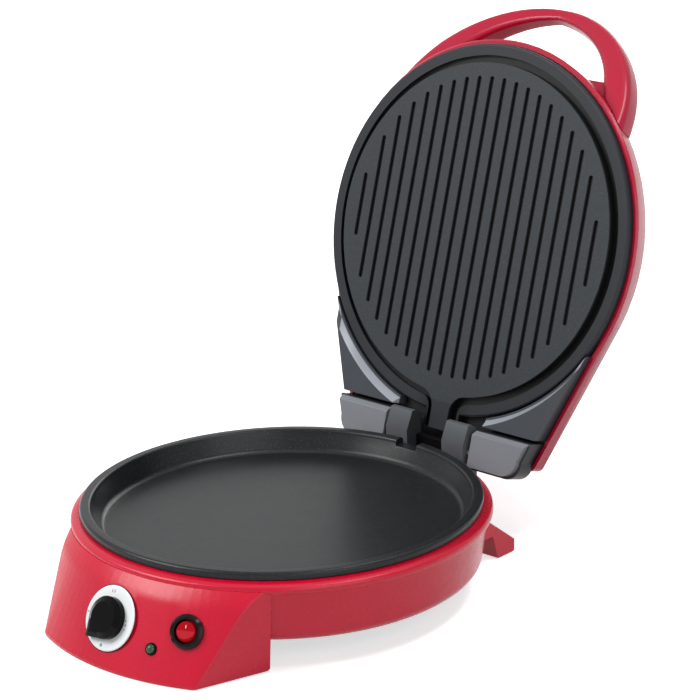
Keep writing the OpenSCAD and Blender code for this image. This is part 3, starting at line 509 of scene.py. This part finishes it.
add_piece(
    "pointer_knob", mesh, gloss_black_abs, "thermostat_knob", stands_for="knob", width=0.0012, steps=5
)

# Printed marks on the dial: two strokes, three dots, a dot and a grey-green spot. The inks lie
# matt on the gloss print.
grey_ink = moulded_satin("grey_ink", "5A6064", "4E5458", 0.5)
green_ink = moulded_satin("green_grey_ink", "7FA39A", "7A9C94", 0.5)


def print_marks(name, ink, marks, place, body):
    """Thin printed marks, each given by its place, width and height on the face."""
    mesh = bmesh.new()
    for x, y, width, height in marks:
        dot = bmesh.ops.create_cone(
            mesh, cap_ends=True, segments=16, radius1=0.5, radius2=0.5, depth=0.00006
        )["verts"]
        bmesh.ops.scale(mesh, verts=dot, vec=(width, height, 1))
        bmesh.ops.translate(mesh, verts=dot, vec=(x, y, 0))
    mesh.transform(place)
    add_piece(name, mesh, ink, body)


dial_top = dial_place @ Matrix.Translation((0, 0, 0.00131))
dots = [(0.0164, 0.0022), (0.0171, -0.0009), (0.0169, -0.0043), (-0.0217, -0.0005)]
strokes = [(-0.0042, 0.0193), (-0.0018, 0.0196)]
dial_marks = [(x, y, 0.0011, 0.0011) for x, y in dots] + [(x, y, 0.0007, 0.0026) for x, y in strokes]
print_marks("dial_marks", grey_ink, dial_marks, dial_top, "base")
print_marks("dial_spot", green_ink, [(-0.001, -0.0203, 0.0026, 0.0026)], dial_top, "base")

# Dark line where the dial plate sits in the moulding
mesh = bmesh.new()
corners = ((0.0240, 0), (0.0245, 0), (0.0245, 0.0004), (0.0240, 0.0004))
section = [mesh.verts.new((r, 0, z)) for r, z in corners]
sides = [mesh.edges.new((section[i - 1], section[i])) for i in range(4)]
bmesh.ops.spin(
    mesh, geom=section + sides, cent=(0, 0, 0), axis=(0, 0, 1), angle=math.tau, steps=96, use_merge=True
)
mesh.transform(dial_place)
add_piece("dial_edge_line", mesh, gloss_black_abs, "base")

# Printed bar on the rocker's upper half, which slopes back from its middle
cream_ink = moulded_satin("cream_ink", "E8D8A8", "DCCB98", 0.5)
rocker_place = on_face("rocker_tilt", 20.5) @ Matrix.Rotation(math.radians(-8), 4, "X")
upper_half = Matrix.Translation((0, 0, 0.00515)) @ Matrix.Rotation(math.radians(10.8), 4, "X")
rocker_bar = [(0, 0.0028, 0.0008, 0.0026)]
print_marks("rocker_bar", cream_ink, rocker_bar, rocker_place @ upper_half, "mains_rocker")


# Metal parts inside
# Plated screws, pins and shaft, pressed steel thermostat, bright reflector sheets and
# sheathed heating elements.


def drawn_metal(name, colour, deep, roughness):
    """Metal with fine drawing marks."""
    finish, tree, shader, place = new_finish(name, colour, roughness, metallic=1.0)
    # Marks of the drawing, about 4 mm across
    marks = add_node(tree, "ShaderNodeTexNoise", {"Vector": place, "Scale": 1 / 0.004, "Detail": 5.0})
    tone = add_node(
        tree, "ShaderNodeMix",
        {"Factor_Float": marks["Fac"], "A_Color": linear(colour), "B_Color": linear(deep)},
        data_type="RGBA",
    )
    sheen = add_node(
        tree, "ShaderNodeMapRange",
        {"Value": marks["Fac"], "To Min": roughness * 0.8, "To Max": roughness * 1.25},
    )
    fill_inputs(shader, {"Base Color": tone["Result_Color"], "Roughness": sheen["Result"]})
    return finish


# Zinc plate is pale and softly bright, rolled sheet brighter, and a heated tube dull and brown
zinc_plate = drawn_metal("zinc_plated_steel", "C4C6C8", "A8AAAD", 0.3)
screws = ("plate_screws", "cover_screws", "bracket_screws", "lid_screws")
for part in (*screws, "hinge_pins", "thermostat_shaft", "thermostat_body"):
    finish_node(part, zinc_plate, 0.0002)
bright_sheet = drawn_metal("bright_aluminium_sheet", "D6D8DA", "C2C4C7", 0.25)
for part in ("lower_reflector", "upper_reflector"):
    finish_node(part, bright_sheet, 0.0001)
tinted_tube = drawn_metal("heat_tinted_steel_tube", "6E6762", "544D49", 0.4)
for part in ("lower_element", "upper_element"):
    finish_node(part, tinted_tube, 0.0001)
# Unglazed steatite: a dry cream ceramic
finish_node("terminal_block", moulded_satin("cream_steatite", "D8D2BE", "CFC8B2", 0.55), 0.0004)


# Camera, light and floor
# The camera stands where the photograph's stood. A large soft box at the front left does most
# of the work, a narrow one draws the streak on the block, and four weaker ones lift the top,
# the right side and the rear. The floor and the backdrop are white paper.

# Lens, place and turn come from a fit to the photograph
camera_data = bpy.data.cameras.new("camera")
camera_data.lens = 152.0
camera_data.sensor_width = 36.0
camera = bpy.data.objects.new("camera", camera_data)
right = Vector((0.74391758, 0.66776597, -0.02598543))
up = Vector((-0.19346751, 0.25242392, 0.94807831))
back = Vector((0.63965378, -0.70026479, 0.31697361))
aim = Matrix((right, up, back)).transposed().to_4x4()
camera.matrix_world = Matrix.Translation((1.44211, -1.57718, 0.88397)) @ aim
bpy.context.scene.collection.objects.link(camera)
bpy.context.scene.camera = camera
bpy.context.scene.view_settings.view_transform = "Standard"


def soft_box(name, place, target, size, power):
    """Rectangular lamp at a place, facing a target, with its size in metres and its power in watts."""
    data = bpy.data.lights.new(name, "AREA")
    data.shape = "RECTANGLE"
    data.size, data.size_y = size
    data.energy = power
    lamp = bpy.data.objects.new(name, data)
    lamp.location = place
    lamp.rotation_euler = (Vector(target) - Vector(place)).to_track_quat("-Z", "Y").to_euler()
    bpy.context.scene.collection.objects.link(lamp)


soft_box("key", (-1.3, -1.75, 2.0), (0, 0, 0.15), (1.7, 1.3), 66)
soft_box("streak", (-1.07, -1.80, 1.15), (0, -0.15, 0.05), (0.1, 0.5), 1.6)
soft_box("top", (0.1, 0.0, 2.4), (0, 0, 0.1), (1.6, 1.6), 4)
soft_box("overhead_strip", (0.85, 0.28, 2.3), (0, 0.1, 0.2), (1.2, 0.45), 20)
soft_box("side", (2.2, -0.9, 0.9), (0, 0, 0.15), (1.8, 2.0), 22)
soft_box("rear_fill", (-0.9, 2.3, 1.3), (0, 0, 0.2), (1.2, 1.2), 14)


def seen(tree):
    """1 for the rays that the camera sees directly, in a mirror or through glass."""
    path = add_node(tree, "ShaderNodeLightPath", {})
    direct = add_node(
        tree, "ShaderNodeMath",
        {"Value": path["Is Camera Ray"], "Value_001": path["Is Transmission Ray"]},
        operation="MAXIMUM",
    )
    return add_node(
        tree, "ShaderNodeMath",
        {"Value": direct["Value"], "Value_001": path["Is Glossy Ray"]},
        operation="MAXIMUM",
    )["Value"]


# A white backdrop where it is seen, and a weak light from all round
world = bpy.data.worlds.new("studio")
bpy.context.scene.world = world
world.use_nodes = True
tree = world.node_tree
tree.nodes.clear()
strength = add_node(tree, "ShaderNodeMapRange", {"Value": seen(tree), "To Min": 0.2, "To Max": 1.0})
sky = add_node(tree, "ShaderNodeBackground", {"Color": (1, 1, 1, 1), "Strength": strength["Result"]})
add_node(tree, "ShaderNodeOutputWorld", {"Surface": sky["Background"]})

mesh = bmesh.new()
bmesh.ops.create_grid(mesh, x_segments=1, y_segments=1, size=6.0)
floor_data = bpy.data.meshes.new("floor")
mesh.to_mesh(floor_data)
mesh.free()
floor = bpy.data.objects.new("floor", floor_data)
bpy.context.scene.collection.objects.link(floor)
paper = bpy.data.materials.new("white_paper")
paper.use_nodes = True
tree = paper.node_tree
tree.nodes.clear()
# Darker for the light that it throws back at the object, so that the red stays deep
shade = add_node(
    tree, "ShaderNodeMix",
    {"Factor_Float": seen(tree), "A_Color": linear("BCBCBC"), "B_Color": linear("F4F4F4")},
    data_type="RGBA",
)
matt = add_node(tree, "ShaderNodeBsdfDiffuse", {"Color": shade["Result_Color"]})
# Where it is seen, the paper is lifted to white, fully beyond the object's shadow
place = add_node(tree, "ShaderNodeTexCoord", {})["Object"]
distance = add_node(tree, "ShaderNodeVectorMath", {"Vector": place}, operation="LENGTH")
lift = add_node(
    tree, "ShaderNodeMapRange",
    {"Value": distance["Value"], "From Min": 0.5, "From Max": 1.2, "To Min": 0.6, "To Max": 1.0},
)
lift_seen = add_node(
    tree, "ShaderNodeMath", {"Value": lift["Result"], "Value_001": seen(tree)}, operation="MULTIPLY"
)
glow = add_node(tree, "ShaderNodeEmission", {"Strength": lift_seen["Value"]})
both = add_node(tree, "ShaderNodeAddShader", {"Shader": matt["BSDF"], "Shader_001": glow["Emission"]})
add_node(tree, "ShaderNodeOutputMaterial", {"Surface": both["Shader"]})
floor_data.materials.append(paper)
